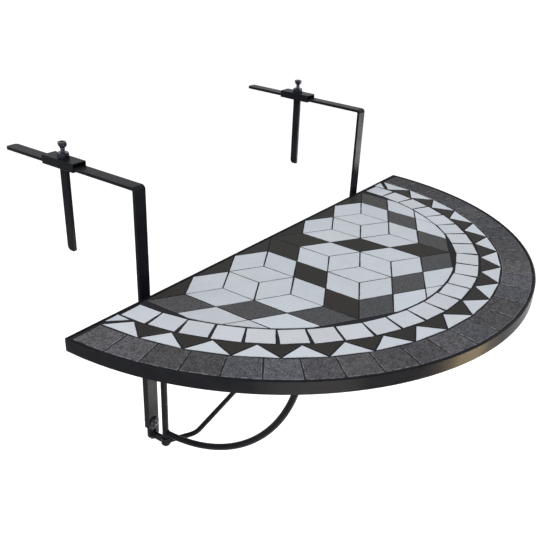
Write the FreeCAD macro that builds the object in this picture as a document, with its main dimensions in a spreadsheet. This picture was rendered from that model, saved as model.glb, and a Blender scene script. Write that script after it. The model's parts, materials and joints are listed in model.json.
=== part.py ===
import FreeCAD, Part
import Sketcher
import math
import os

# Balcony railing bar table: a half-round mosaic top on two swinging supports, hung from a railing
# by two bent flat bars with sliding clamps.
# Frame: X along the railing, +Y outwards over the railing, +Z up. The origin is the railing seat:
# the middle plane, the back face of the hanging bars and the underside of their arms.

doc = FreeCAD.newDocument("BalconyTable")
sheet = doc.addObject("Spreadsheet::Sheet", "Sizes")
pieces = []


class Size:
    """A number together with its formula in the sheet, so that both are written once."""

    def __init__(self, value, formula=None):
        self.value = float(value)
        self.formula = formula or repr(float(value))

    def _join(self, other, sign, result):
        return Size(result, "(%s %s %s)" % (self.formula, sign, as_size(other).formula))

    def __add__(self, other):
        return self._join(other, "+", self.value + as_size(other).value)

    def __sub__(self, other):
        return self._join(other, "-", self.value - as_size(other).value)

    def __mul__(self, other):
        return self._join(other, "*", self.value * as_size(other).value)

    def __truediv__(self, other):
        return self._join(other, "/", self.value / as_size(other).value)

    def __radd__(self, other):
        return as_size(other) + self

    def __rsub__(self, other):
        return as_size(other) - self

    def __rmul__(self, other):
        return as_size(other) * self

    def __neg__(self):
        return Size(0) - self


def as_size(number):
    return number if isinstance(number, Size) else Size(number)


def root(size):
    return Size(math.sqrt(size.value), "sqrt(%s)" % size.formula)


def tangent(degrees):
    """Tangent of an angle that is held in degrees."""
    return Size(math.tan(math.radians(degrees.value)), "tan(%s * 1deg)" % degrees.formula)


def driving(alias, number):
    """Write one driving dimension into the next row of the sheet."""
    row = driving.row = driving.row + 1
    sheet.set("A%d" % row, alias.replace("_", " "))
    sheet.set("B%d" % row, str(number))
    sheet.setAlias("B%d" % row, alias)
    return Size(number, "Sizes." + alias)


driving.row = 0

# Hanging bars
half_span = 250
bar_width = 17.5
bar_thick = 4
bend_radius = 1.2
arm_reach = 222
arm_tip_radius = 4
bar_past_bolt = 8.8

# Posts in front of the hanging bars, and what fastens them
post_width = 17.5
post_depth = 5
post_top_gap = 3
post_past_collar = 2
spare_hole_rise = 13
spare_hole = 7
bolt_above_spare = 15.5
bolt_dia = 6
bolt_fit = 0.15
thread_fit = 0.02
bolt_head_dia = 15.5
bolt_head_height = 4.2
nut_flats = 10
nut_height = 4
bolt_end = 1

# Tabletop
table_drop = 134.5
table_gap = 5
top_radius = 380
rim_wall = 3
rim_height = 17
rim_rounding = 1.2
ledge_width = 12
ledge_thick = 2
board_play = 0.5
tile_layer = 5
tile_recess = 0.5
grout_recess = 1.3
brace_width = 20
brace_thick = 3
rear_brace_place = 130
front_brace_place = 258

# Mosaic: rings from the rim inwards, then the field of rhombi, which fits inside them
grout_gap = 1.6
rim_gap = 2
ring_gap = 2.5
ring_margin = 1.1
slate_width = 41
triangle_height = 26.5
square_height = 32
square_flare = 1
lattice_rows = 5.38
lattice_inset = 4

# Table hinge: lugs on the posts, ears under the top
lug_thick = 4
pin_ahead = 8
pin_below = 12
pin_head_dia = 9
ear_radius = 8
side_play = 0.2
running_fit = 0.1

# Swinging supports
gate_bar = 8.5
gate_ahead = 20.5
gate_radius = 210
gate_centre_above = 11
gate_corner = 16
gate_play = 0.2
weld_gap = 0.05
bow_above_collar = 8
spigot_dia = 6
cap_dia = 10.4
cap_height = 4.4
cap_grip = 2.5
collar_dia = 12.6
collar_height = 10
gusset_thick = 5
gusset_height = 8
hinge_plate_below = 15.3
hinge_plate_radius = 9
stretcher_dia = 7
stretcher_start = 4
stretcher_turn_in = 41
stretcher_turn_radius = 28
stretcher_ahead = 19.8
stretcher_middle_back = 10
stretcher_middle_radius = 534

# Clamps on the arms
clamp_place = 123
sleeve_length = 54
sleeve_wall = 1.5
sleeve_play = 0.5
sleeve_floor_play = 0.1
sleeve_headroom = 4
leg_depth = 12
leg_thick = 5
leg_length = 111
leg_outer_corner = 6
leg_inner_corner = 1.5
clamp_nut_flats = 13
clamp_nut_height = 6.5
screw_dia = 6
screw_fit = 0.06
screw_neck = 6
screw_head_flats = 10
screw_head_height = 7
foot_dia = 9
foot_thick = 1.5

# Each number named above gets a row of the sheet, and its name then stands for that cell too
for alias, number in list(globals().items()):
    if isinstance(number, (int, float)):
        globals()[alias] = driving(alias, number)

# How many tiles each ring has
SLATES = 26
TRIANGLES = 19
SQUARES = 24

# Places that several pieces share
bar_front = -bar_thick
table_back = bar_front - table_gap
post_front = bar_front - post_depth
rim_bottom = -table_drop - rim_height
brace_bottom = rim_bottom - brace_thick
tile_floor = -table_drop - tile_layer
slate_outer = top_radius - rim_wall - rim_gap
slate_inner = slate_outer - slate_width
triangle_outer = slate_inner - ring_gap
triangle_inner = triangle_outer - triangle_height
square_outer = triangle_inner - ring_gap
square_inner = square_outer - square_height
field_radius = square_inner - ring_gap
gate_y = table_back - gate_ahead
gate_bar_top = brace_bottom - gate_play
gate_centre = gate_centre_above - table_drop
collar_top = gate_centre - gate_radius - bow_above_collar
collar_low = collar_top - collar_height
hinge_plate_top = gate_bar_top - gate_bar - hinge_plate_below
post_low = collar_low - post_past_collar
spare_hole_z = post_low + spare_hole_rise
post_bolt_z = spare_hole_z + bolt_above_spare
bar_low = post_bolt_z - bar_past_bolt
pin_y = table_back - pin_ahead
pin_z = rim_bottom - pin_below
post_middle = half_span + (bar_width - post_width) / 2
arm_top = bar_thick
sleeve_floor = -sleeve_floor_play
sleeve_roof = arm_top + sleeve_headroom - sleeve_floor_play
sleeve_half = bar_width / 2 + sleeve_play
hexagon_ratio = 2 / math.sqrt(3)


def bind(item, path, size):
    item.setExpression(path, as_size(size).formula)


def place(item, x=0, y=0, z=0, axis=(0, 0, 1), degrees=0):
    """Set a piece's place from sizes, and its turn about one axis."""
    base = FreeCAD.Vector(as_size(x).value, as_size(y).value, as_size(z).value)
    turn = FreeCAD.Rotation(FreeCAD.Vector(*axis), as_size(degrees).value)
    item.Placement = FreeCAD.Placement(base, turn)
    for letter, size in zip("xyz", (x, y, z)):
        bind(item, "Placement.Base." + letter, size)
    if isinstance(degrees, Size):
        item.setExpression("Placement.Rotation.Angle", degrees.formula + " * 1deg")
    return item


def new_body(name):
    body = doc.addObject("PartDesign::Body", name)
    body.AllowCompound = True
    return body


def keep(item, name):
    """Name a finished piece, which is written to a file of its own."""
    item.Label = name
    pieces.append(item)
    return item


def sketch_on(body, plane, ahead=0):
    """A sketch on one of the body's own planes, moved along the plane's normal."""
    drawing = body.newObject("Sketcher::SketchObject", "Outline")
    origin = [item for item in body.Origin.OriginFeatures if item.Role == plane + "_Plane"][0]
    drawing.AttachmentSupport = [(origin, "")]
    drawing.MapMode = "FlatFace"
    drawing.AttachmentOffset = FreeCAD.Placement(
        FreeCAD.Vector(0, 0, as_size(ahead).value), FreeCAD.Rotation())
    bind(drawing, "AttachmentOffset.Base.z", ahead)
    return drawing


def vector(point):
    return FreeCAD.Vector(as_size(point[0]).value, as_size(point[1]).value, 0)


def dimension(drawing, constraint, size):
    number = drawing.addConstraint(constraint)
    bind(drawing, "Constraints[%d]" % number, size)


def fix_point(drawing, item, end, point):
    """Tie one end of a sketch line to its distances from the sketch's origin."""
    for kind, size in zip(("DistanceX", "DistanceY"), point):
        size = as_size(size)
        dimension(drawing, Sketcher.Constraint(kind, -1, 1, item, end, size.value), size)


def outline(drawing, points):
    """A closed outline of straight lines through points given as pairs of sizes."""
    first = drawing.GeometryCount
    count = len(points)
    corners = [vector(point) for point in points]
    drawing.addGeometry([Part.LineSegment(corners[i], corners[(i + 1) % count]) for i in range(count)])
    drawing.addConstraint([Sketcher.Constraint("Coincident", first + i, 2, first + (i + 1) % count, 1)
                           for i in range(count)])
    for i in range(count):
        fix_point(drawing, first + i, 1, points[i])


def rectangle(drawing, left, right, low, high):
    outline(drawing, [(left, low), (right, low), (right, high), (left, high)])


def circle(drawing, centre, radius):
    item = drawing.addGeometry(Part.Circle(vector(centre), FreeCAD.Vector(0, 0, 1), radius.value))
    dimension(drawing, Sketcher.Constraint("Radius", item, radius.value), radius)
    fix_point(drawing, item, 3, centre)


def arc(drawing, centre, radius, start, end):
    """An arc from one angle to another in degrees, with its radius tied to a size."""
    full = Part.Circle(vector(centre), FreeCAD.Vector(0, 0, 1), radius.value)
    item = drawing.addGeometry(Part.ArcOfCircle(full, math.radians(start), math.radians(end)))
    dimension(drawing, Sketcher.Constraint("Radius", item, radius.value), radius)
    return item


def line(drawing, start, end):
    return drawing.addGeometry(Part.LineSegment(vector(start), vector(end)))


def meet(drawing, *joints, kind="Coincident"):
    """Join line and arc ends: each joint is (item, end, item, end)."""
    drawing.addConstraint([Sketcher.Constraint(kind, *joint) for joint in joints])


def half_round(drawing, radius, inset):
    """A half circle about the sketch's origin, closed by a straight edge at a distance from it."""
    slope = math.degrees(math.asin(as_size(inset).value / radius.value))
    reach = root(radius * radius - as_size(inset) * inset)
    bow = arc(drawing, (0, 0), radius, 180 + slope, 360 - slope)
    chord = line(drawing, (reach, -as_size(inset)), (-reach, -as_size(inset)))
    meet(drawing, (bow, 2, chord, 1), (chord, 2, bow, 1))
    fix_point(drawing, bow, 3, (0, 0))
    drawing.addConstraint(Sketcher.Constraint("Horizontal", chord))
    low = Sketcher.Constraint("DistanceY", -1, 1, chord, 1, -as_size(inset).value)
    dimension(drawing, low, -as_size(inset))


def tongue(drawing, half, straight, centre, across=0, sideways=False):
    """A strip with a straight end and a full round end, upright in the sketch or lying sideways."""
    def point(along, over):
        return (along, across + over) if sideways else (across + over, along)

    sign = 1 if straight.value > centre.value else -1
    opening = {(False, 1): 180, (False, -1): 0, (True, 1): 90, (True, -1): 270}[sideways, sign]
    corners = [point(straight, -half), point(centre, -half), point(centre, half), point(straight, half)]
    first = line(drawing, corners[0], corners[1])
    full = Part.Circle(vector(point(centre, 0)), FreeCAD.Vector(0, 0, 1), half.value)
    bow = drawing.addGeometry(Part.ArcOfCircle(full, math.radians(opening), math.radians(opening + 180)))
    last = line(drawing, corners[2], corners[3])
    closing = line(drawing, corners[3], corners[0])
    start, end = (1, 2) if sign * (-1 if sideways else 1) > 0 else (2, 1)
    drawing.addConstraint([Sketcher.Constraint("Tangent", first, 2, bow, start),
                           Sketcher.Constraint("Tangent", bow, end, last, 1)])
    meet(drawing, (last, 2, closing, 1), (closing, 2, first, 1))
    upright = "Horizontal" if sideways else "Vertical"
    drawing.addConstraint([Sketcher.Constraint(upright, first), Sketcher.Constraint(upright, last)])
    fix_point(drawing, closing, 1, corners[3])
    fix_point(drawing, closing, 2, corners[0])
    kind = "DistanceX" if sideways else "DistanceY"
    dimension(drawing, Sketcher.Constraint(kind, -1, 1, bow, 3, centre.value), centre)


def pad(body, drawing, length, midplane=False, backwards=False):
    feature = body.newObject("PartDesign::Pad", "Pad")
    feature.Profile = drawing
    feature.SideType = "Symmetric" if midplane else "One side"
    feature.Reversed = backwards
    bind(feature, "Length", length)
    return feature


def cut_through(body, drawing, midplane=True, backwards=False, length=None):
    """Cut a sketch through the piece, or to a depth from the sketch."""
    doc.recompute()
    before = body.Tip.Shape.Volume
    feature = body.newObject("PartDesign::Pocket", "Pocket")
    feature.Profile = drawing
    feature.SideType = "Symmetric" if midplane else "One side"
    feature.Reversed = backwards
    if length is None:
        feature.Type = "ThroughAll"
    else:
        bind(feature, "Length", length)
    doc.recompute()
    if feature.Shape.Volume >= before:
        raise RuntimeError(body.Label + ": the cut removes nothing")
    return feature


def revolve(body, drawing):
    """Turn a sketch once about its own vertical axis."""
    feature = body.newObject("PartDesign::Revolution", "Revolution")
    feature.Profile = drawing
    feature.ReferenceAxis = (drawing, ["V_Axis"])
    feature.Angle = 360
    return feature


def sweep(body, profile, path):
    feature = body.newObject("PartDesign::AdditivePipe", "Pipe")
    feature.Profile = profile
    feature.Spine = path
    return feature


def turn_pattern(body, feature, step, count):
    """Repeat a feature about the body's Z axis, a step in degrees apart."""
    doc.recompute()
    pattern = body.newObject("PartDesign::PolarPattern", "Pattern")
    pattern.Originals = [feature]
    pattern.Axis = ([item for item in body.Origin.OriginFeatures if item.Role == "Z_Axis"][0], [""])
    pattern.Occurrences = count
    bind(pattern, "Angle", step * (count - 1))
    body.Tip = pattern
    return pattern


def round_edges(body, feature, radius, chosen):
    """Round the edges of a feature that a test picks."""
    doc.recompute()
    names = ["Edge%d" % (number + 1) for number, edge in enumerate(feature.Shape.Edges) if chosen(edge)]
    rounding = body.newObject("PartDesign::Fillet", "Fillet")
    rounding.Base = (feature, names)
    bind(rounding, "Radius", radius)
    return rounding


def near(first, second):
    return abs(first - as_size(second).value) < 1e-4


def hexagon(name, flats, height):
    prism = doc.addObject("Part::Prism", name + "Prism")
    prism.Polygon = 6
    bind(prism, "Circumradius", flats / 2 * hexagon_ratio)
    bind(prism, "Height", height)
    return prism


def cylinder(name, radius, height):
    rod = doc.addObject("Part::Cylinder", name + "Cylinder")
    bind(rod, "Radius", radius)
    bind(rod, "Height", height)
    return rod


def combine(kind, name, base, tool):
    """Join, cut or intersect two shapes."""
    result = doc.addObject("Part::" + kind, name + kind)
    result.Base = base
    result.Tool = tool
    return result


def hex_nut(name, flats, height, bore):
    return combine("Cut", name, hexagon(name, flats, height), cylinder(name, bore / 2, height))


def hanging_bar(side, sign):
    """Flat bar that comes down behind the table, with its top bent over the railing as an arm."""
    body = new_body("HangingBar")
    outer = bend_radius + bar_thick
    drawing = sketch_on(body, "YZ")
    corner = (bar_front + outer, arm_top - outer)
    points = [(bar_front, bar_low), (0, bar_low), (0, arm_top - outer), (bar_front + outer, 0),
              (arm_reach, 0), (arm_reach, arm_top), (bar_front + outer, arm_top),
              (bar_front, arm_top - outer)]
    bottom = line(drawing, points[0], points[1])
    back = line(drawing, points[1], points[2])
    inner_bend = arc(drawing, corner, bend_radius, 90, 180)
    under = line(drawing, points[3], points[4])
    tip = line(drawing, points[4], points[5])
    over = line(drawing, points[5], points[6])
    outer_bend = arc(drawing, corner, outer, 90, 180)
    front = line(drawing, points[7], points[0])
    meet(drawing, (bottom, 2, back, 1), (back, 2, inner_bend, 2), (inner_bend, 1, under, 1),
         (under, 2, tip, 1), (tip, 2, over, 1), (over, 2, outer_bend, 1), (outer_bend, 2, front, 1),
         (front, 2, bottom, 1))
    for item, end, point in ((bottom, 1, 0), (bottom, 2, 1), (back, 2, 2), (under, 1, 3),
                             (under, 2, 4), (over, 1, 5), (over, 2, 6), (front, 1, 7)):
        fix_point(drawing, item, end, points[point])
    pad(body, drawing, bar_width, midplane=True)
    holes = sketch_on(body, "XZ")
    circle(holes, (sign * (post_middle - half_span), post_bolt_z), bolt_dia / 2 + bolt_fit)
    holed = cut_through(body, holes)
    round_edges(body, holed, arm_tip_radius, lambda edge: edge.BoundBox.ZLength > 1
                and near(edge.BoundBox.YMin, arm_reach) and edge.BoundBox.YLength < 1e-6)
    place(body, sign * half_span)
    return keep(body, "hanging_bar_" + side)


def post(side, sign):
    """Short flat bar in front of the hanging bar, round at its lower end."""
    body = new_body("Post")
    drawing = sketch_on(body, "XZ", -bar_front)
    half = post_width / 2
    tongue(drawing, half, rim_bottom - post_top_gap, post_low + half)
    pad(body, drawing, post_depth)
    holes = sketch_on(body, "XZ")
    circle(holes, (0, post_bolt_z), bolt_dia / 2 + bolt_fit)
    circle(holes, (0, spare_hole_z), spare_hole / 2)
    cut_through(body, holes)
    place(body, sign * post_middle)
    return keep(body, "post_" + side)


def turned(name, points):
    """A piece turned about Z from an outline of radius and height pairs."""
    body = new_body(name)
    drawing = sketch_on(body, "XZ")
    outline(drawing, points)
    revolve(body, drawing)
    return body


def pan_bolt(name, head_dia, head_height, shank, length):
    """Round-headed bolt: its shank points along +Z and its head sits below zero."""
    rim = head_height / 3
    crown = head_dia / 3
    return turned(name, [(0, -head_height), (crown, -head_height), (head_dia / 2, -rim), (head_dia / 2, 0),
                         (shank / 2, 0), (shank / 2, length), (0, length)])


def post_fastener(side, sign):
    """Bolt and nut that hold the post to its hanging bar."""
    length = post_depth + bar_thick + nut_height + bolt_end
    bolt = pan_bolt("PostBolt", bolt_head_dia, bolt_head_height, bolt_dia, length)
    place(bolt, sign * post_middle, post_front, post_bolt_z, (1, 0, 0), -90)
    keep(bolt, "post_bolt_" + side)
    nut = hex_nut("PostNut", nut_flats, nut_height, bolt_dia + thread_fit * 2)
    place(nut, sign * post_middle, 0, post_bolt_z, (1, 0, 0), -90)
    keep(nut, "post_nut_" + side)


def table_hinge(side, sign):
    """Lug on the post, ear under the top, and the pin through both."""
    inner_face = post_middle - post_width / 2
    lug = new_body("Lug")
    drawing = sketch_on(lug, "YZ")
    tongue(drawing, ear_radius, bar_front, pin_y, pin_z, sideways=True)
    pad(lug, drawing, lug_thick, midplane=True)
    hole = sketch_on(lug, "YZ")
    circle(hole, (pin_y, pin_z), bolt_dia / 2 + bolt_fit)
    cut_through(lug, hole)
    keep(place(lug, sign * (inner_face - lug_thick / 2)), "table_lug_" + side)

    ear = new_body("Ear")
    drawing = sketch_on(ear, "YZ")
    tongue(drawing, ear_radius, rim_bottom, pin_z, pin_y)
    pad(ear, drawing, lug_thick, midplane=True)
    hole = sketch_on(ear, "YZ")
    circle(hole, (pin_y, pin_z), bolt_dia / 2 + running_fit)
    cut_through(ear, hole)
    ear_middle = inner_face - lug_thick - side_play - lug_thick / 2
    keep(place(ear, sign * ear_middle), "table_ear_" + side)

    grip = lug_thick * 2 + side_play * 2
    pin = pan_bolt("Pin", pin_head_dia, bolt_head_height, bolt_dia, grip + nut_height + bolt_end)
    place(pin, sign * inner_face, pin_y, pin_z, (0, 1, 0), -90 * sign)
    keep(pin, "table_pin_" + side)
    nut = hex_nut("PinNut", nut_flats, nut_height, bolt_dia + thread_fit * 2)
    place(nut, sign * (inner_face - grip), pin_y, pin_z, (0, 1, 0), -90 * sign)
    keep(nut, "table_pin_nut_" + side)


def lower_hinge(side, sign):
    """Gusset and collar on the post's lower end, in which the swinging support stands."""
    body = new_body("LowerHinge")
    drawing = sketch_on(body, "YZ")
    outline(drawing, [(post_front, collar_low + gusset_height), (gate_y, collar_top),
                      (gate_y, collar_low), (post_front, collar_low)])
    pad(body, drawing, gusset_thick, midplane=True)
    ring = sketch_on(body, "XY", collar_low)
    circle(ring, (0, gate_y), collar_dia / 2)
    pad(body, ring, collar_height)
    hole = sketch_on(body, "XY", collar_low)
    circle(hole, (0, gate_y), spigot_dia / 2 + running_fit)
    cut_through(body, hole)
    keep(place(body, sign * post_middle), "lower_hinge_" + side)


def upper_hinge(side, sign):
    """Plate on the post's front, under the top, with the bore for the support's upper end."""
    body = new_body("UpperHinge")
    drawing = sketch_on(body, "XY", hinge_plate_top)
    tongue(drawing, hinge_plate_radius, post_front, gate_y)
    pad(body, drawing, lug_thick, backwards=True)
    hole = sketch_on(body, "XY", hinge_plate_top)
    circle(hole, (0, gate_y), gate_bar / 2 + running_fit)
    cut_through(body, hole)
    keep(place(body, sign * post_middle), "upper_hinge_" + side)


def stretcher():
    """Round bar that ties the two lower hinges, bent forward at its ends and back in the middle."""
    body = new_body("Stretcher")
    height = (collar_top + collar_low) / 2
    turn_x = post_middle - stretcher_turn_in
    turn_y = gate_y - stretcher_ahead + stretcher_turn_radius
    start_x = post_middle - stretcher_start
    middle_y = gate_y + stretcher_middle_back - stretcher_middle_radius
    path = sketch_on(body, "XY", height)
    left_start = arc(path, (-start_x, gate_y), stretcher_start, 180, 243)
    left_run = line(path, (-start_x, gate_y - stretcher_start), (-turn_x, turn_y - stretcher_turn_radius))
    left_turn = arc(path, (-turn_x, turn_y), stretcher_turn_radius, 243, 280)
    left_line = line(path, (-turn_x, turn_y - stretcher_turn_radius), (-turn_x / 2, gate_y))
    middle = arc(path, (0, middle_y), stretcher_middle_radius, 80, 100)
    right_line = line(path, (turn_x / 2, gate_y), (turn_x, turn_y - stretcher_turn_radius))
    right_turn = arc(path, (turn_x, turn_y), stretcher_turn_radius, 260, 297)
    right_run = line(path, (turn_x, turn_y - stretcher_turn_radius), (start_x, gate_y - stretcher_start))
    right_start = arc(path, (start_x, gate_y), stretcher_start, 297, 360)
    meet(path, (left_start, 2, left_run, 1), (left_run, 2, left_turn, 1),
         (left_turn, 2, left_line, 1), (left_line, 2, middle, 2), (middle, 1, right_line, 1),
         (right_line, 2, right_turn, 1), (right_turn, 2, right_run, 1),
         (right_run, 2, right_start, 1), kind="Tangent")
    path.addConstraint([Sketcher.Constraint("Horizontal", left_start, 1, left_start, 3),
                        Sketcher.Constraint("Horizontal", right_start, 2, right_start, 3)])
    fix_point(path, left_start, 1, (-post_middle, gate_y))
    fix_point(path, left_turn, 3, (-turn_x, turn_y))
    fix_point(path, middle, 3, (0, middle_y))
    fix_point(path, right_turn, 3, (turn_x, turn_y))
    fix_point(path, right_start, 2, (post_middle, gate_y))
    profile = sketch_on(body, "XZ", -gate_y)
    circle(profile, (-post_middle, height), stretcher_dia / 2)
    sweep(body, profile, path)
    seats = sketch_on(body, "XY", height)
    for sign in (-1, 1):
        circle(seats, (sign * post_middle, gate_y), collar_dia / 2)
    cut_through(body, seats)
    keep(place(body), "stretcher")


def gate_rod(side, sign):
    """Upright rod of a swinging support, with a thinner spigot at its foot."""
    low = -collar_height - cap_grip
    shoulder = running_fit
    top = gate_bar_top - collar_top
    body = turned("GateRod", [(0, low), (spigot_dia / 2, low), (spigot_dia / 2, shoulder),
                              (gate_bar / 2, shoulder), (gate_bar / 2, top), (0, top)])
    place(body, sign * post_middle, gate_y, collar_top)
    keep(body, "gate_rod_" + side)


def gate_cap(side, sign):
    """Domed cap on the spigot, under the collar."""
    seat = -running_fit
    flank = cap_height / 3
    bore = spigot_dia / 2 + weld_gap
    body = turned("GateCap", [(bore, seat), (cap_dia / 2, seat), (cap_dia / 2, -flank),
                              (cap_dia / 3, flank - cap_height), (cap_dia / 5, -cap_height),
                              (0, -cap_height), (0, -cap_grip), (bore, -cap_grip)])
    place(body, sign * post_middle, gate_y, collar_low)
    keep(body, "gate_cap_" + side)


def gate_bow(side, sign):
    """Quarter bow and top arm of a swinging support, bent from one round bar."""
    body = new_body("GateBow")
    arm_z = gate_bar_top - gate_bar / 2
    drop = gate_centre - arm_z + gate_corner
    corner_reach = root((gate_radius - gate_corner) * (gate_radius - gate_corner) - drop * drop)
    corner = (gate_y - corner_reach, arm_z - gate_corner)
    slope = math.degrees(math.atan2(drop.value, corner_reach.value))
    path = sketch_on(body, "YZ")
    arm = line(path, (gate_y, arm_z), (gate_y - corner_reach, arm_z))
    bend = arc(path, corner, gate_corner, 90, 180 + slope)
    bow = arc(path, (gate_y, gate_centre), gate_radius, 180 + slope, 270)
    path.addConstraint([Sketcher.Constraint("Tangent", arm, 2, bend, 1),
                        Sketcher.Constraint("Tangent", bend, 2, bow, 1),
                        Sketcher.Constraint("Horizontal", arm)])
    fix_point(path, arm, 1, (gate_y, arm_z))
    fix_point(path, bow, 3, (gate_y, gate_centre))
    dimension(path, Sketcher.Constraint("DistanceX", -1, 1, bow, 2, gate_y.value), gate_y)
    profile = sketch_on(body, "XZ", -gate_y)
    circle(profile, (0, arm_z), gate_bar / 2)
    sweep(body, profile, path)
    seat = sketch_on(body, "XY", gate_centre)
    circle(seat, (0, gate_y), gate_bar / 2 + weld_gap)
    cut_through(body, seat)
    keep(place(body, sign * post_middle), "gate_bow_" + side)


def table_body(name, z=0, degrees=0, inset=0):
    """An empty body in the tabletop's own frame: the middle of its back edge, at a height."""
    return place(new_body(name), 0, table_back - inset, z, (0, 0, 1), degrees)


def rim():
    """Half-round steel rim with an inner ledge that carries the board."""
    body = table_body("Rim", -table_drop)
    drawing = sketch_on(body, "XY")
    half_round(drawing, top_radius, 0)
    pad(body, drawing, rim_height, backwards=True)
    tray = sketch_on(body, "XY")
    half_round(tray, top_radius - rim_wall, rim_wall)
    cut_through(body, tray, midplane=False, length=rim_height - ledge_thick)
    opening = sketch_on(body, "XY")
    half_round(opening, top_radius - rim_wall - ledge_width, rim_wall + ledge_width)
    opened = cut_through(body, opening, midplane=False)
    round_edges(body, opened, rim_rounding, lambda edge: near(edge.BoundBox.ZMin, 0)
                and near(edge.BoundBox.XLength, top_radius * 2))
    keep(body, "rim")


def board():
    body = table_body("Board", tile_floor)
    drawing = sketch_on(body, "XY")
    half_round(drawing, top_radius - rim_wall - board_play, rim_wall + board_play)
    pad(body, drawing, rim_height - ledge_thick - tile_layer, backwards=True)
    keep(body, "board")


def brace(name, place_y):
    """Flat bar under the board, from side to side between the ledges."""
    reach = root((top_radius - rim_wall) * (top_radius - rim_wall)
                 - (place_y + brace_width) * (place_y + brace_width))
    body = table_body("Brace", rim_bottom)
    drawing = sketch_on(body, "XY")
    rectangle(drawing, -reach, reach, -place_y - brace_width / 2, -place_y + brace_width / 2)
    pad(body, drawing, brace_thick, backwards=True)
    keep(body, name)


def tile_feature(body, drawing):
    return pad(body, drawing, tile_layer - tile_recess)


def ring_pitch(count):
    """Angle from one tile to the next when a number of tiles fills the half circle."""
    return (180 - ring_margin * 2) / count


def tile_ring(name, count, points, pitch, first=0.5):
    """Tiles in a ring: one outline, drawn about the X axis, repeated around the top."""
    body = table_body("Ring", tile_floor, ring_margin + pitch * first - 180)
    drawing = sketch_on(body, "XY")
    outline(drawing, points)
    turn_pattern(body, tile_feature(body, drawing), pitch, count)
    return keep(body, name)


def trapezium(inner, outer, half_inner, half_outer):
    return [(inner, -half_inner), (outer, -half_outer), (outer, half_outer), (inner, half_inner)]


def slate_ring():
    pitch = ring_pitch(SLATES)
    half = [radius * tangent(pitch / 2) - grout_gap / 2 for radius in (slate_inner, slate_outer)]
    return tile_ring("slate_ring", SLATES, trapezium(slate_inner, slate_outer, *half), pitch)


def square_ring():
    pitch = ring_pitch(SQUARES)
    half = square_inner * tangent(pitch / 2) - grout_gap / 2
    points = trapezium(square_inner, square_outer, half, half + square_flare)
    return tile_ring("square_ring", SQUARES, points, pitch)


def triangle_rings():
    """White triangles pointing inwards, black ones outwards between them, and white end pieces."""
    pitch = ring_pitch(TRIANGLES)
    half_outer = triangle_outer * tangent(pitch / 2) - grout_gap
    half_inner = triangle_inner * tangent(pitch / 2) - grout_gap
    inwards = [(triangle_inner + grout_gap, 0),
               (triangle_outer, -half_outer), (triangle_outer, half_outer)]
    outwards = [(triangle_inner, -half_inner), (triangle_outer - grout_gap, 0),
                (triangle_inner, half_inner)]
    white = tile_ring("white_triangles", TRIANGLES, inwards, pitch)
    black = tile_ring("black_triangles", TRIANGLES - 1, outwards, pitch, first=1)
    ends = table_body("Ends", tile_floor, Size(-180))
    drawing = sketch_on(ends, "XY")
    outline(drawing, outwards)
    turn_pattern(ends, tile_feature(ends, drawing), Size(180), 2)
    return white, black, limited("white_end_tiles", ends, slate_inner)


def limited(name, tiles, radius):
    """Tiles trimmed to the half circle inside a ring and clear of the rim's straight wall."""
    limit = table_body("Limit", tile_floor)
    drawing = sketch_on(limit, "XY")
    half_round(drawing, radius, rim_wall + grout_gap)
    tile_feature(limit, drawing)
    return keep(combine("Common", name, tiles, limit), name)


ROOT_THREE = math.sqrt(3)
lattice_side = field_radius / lattice_rows
lattice_column = lattice_side * (ROOT_THREE / 2)
tile_side = lattice_side - grout_gap * (2 / ROOT_THREE)
LYING, UPRIGHT = (1, 0), (0, 1)
LEFT, RIGHT = (1 / 2, ROOT_THREE / 2), (1 / 2, -ROOT_THREE / 2)


def rhombus(drawing, column, row, along):
    """A rhombus about a point in lattice columns and rows, with the way of its long diagonal."""
    x = lattice_column * column
    y = -lattice_side * row
    across = (-along[1], along[0])
    halves = ((along, ROOT_THREE / 2), (across, 1 / 2), (along, -ROOT_THREE / 2), (across, -1 / 2))
    outline(drawing, [(x + tile_side * (way[0] * half), y + tile_side * (way[1] * half))
                      for way, half in halves])


def field_tiles(name, rhombi, degrees, count):
    """Rhombi drawn in one sector of the field and repeated every sixth of a turn."""
    body = table_body(name, tile_floor, Size(degrees), lattice_inset)
    drawing = sketch_on(body, "XY")
    for column, row, lean in rhombi:
        rhombus(drawing, column, row, lean)
    turn_pattern(body, tile_feature(body, drawing), Size(60), count)
    return body


def field():
    """Stacked cubes of white rhombi in three sectors, black chains between and grey ones around."""
    cubes = []
    for column, row in ((0, 2), (-1, 3.5), (1, 3.5)):
        cubes += [(column - 0.5, row - 0.25, LEFT), (column + 0.5, row - 0.25, RIGHT),
                  (column, row + 0.5, LYING)]
    white = keep(field_tiles("WhiteRhombi", cubes, -60, 3), "white_rhombi")
    grey = field_tiles("GreyRhombi", [(column, 4.5, LYING) for column in (-2, 0, 2)], -60, 3)
    edge = field_tiles("EdgeRhombi", [(-1, 5, LYING), (1, 5, LYING), (0, 5.5, LYING)], -60, 3)
    chain = [(0, (link + 0.5) * ROOT_THREE, UPRIGHT) for link in range(3)]
    black = field_tiles("BlackRhombi", chain, -90, 4)
    return [white] + [limited(name, tiles, field_radius) for name, tiles in
                      (("grey_rhombi", grey), ("white_edge_tiles", edge), ("black_rhombi", black))]


def grout(tiles):
    """The grout between all the tiles, a little below their faces."""
    body = table_body("Grout", tile_floor)
    drawing = sketch_on(body, "XY")
    half_round(drawing, top_radius - rim_wall, rim_wall)
    pad(body, drawing, tile_layer - grout_recess)
    together = doc.addObject("Part::Compound", "Tiles")
    together.Links = tiles
    keep(combine("Cut", "Grout", body, together), "grout")


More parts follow.
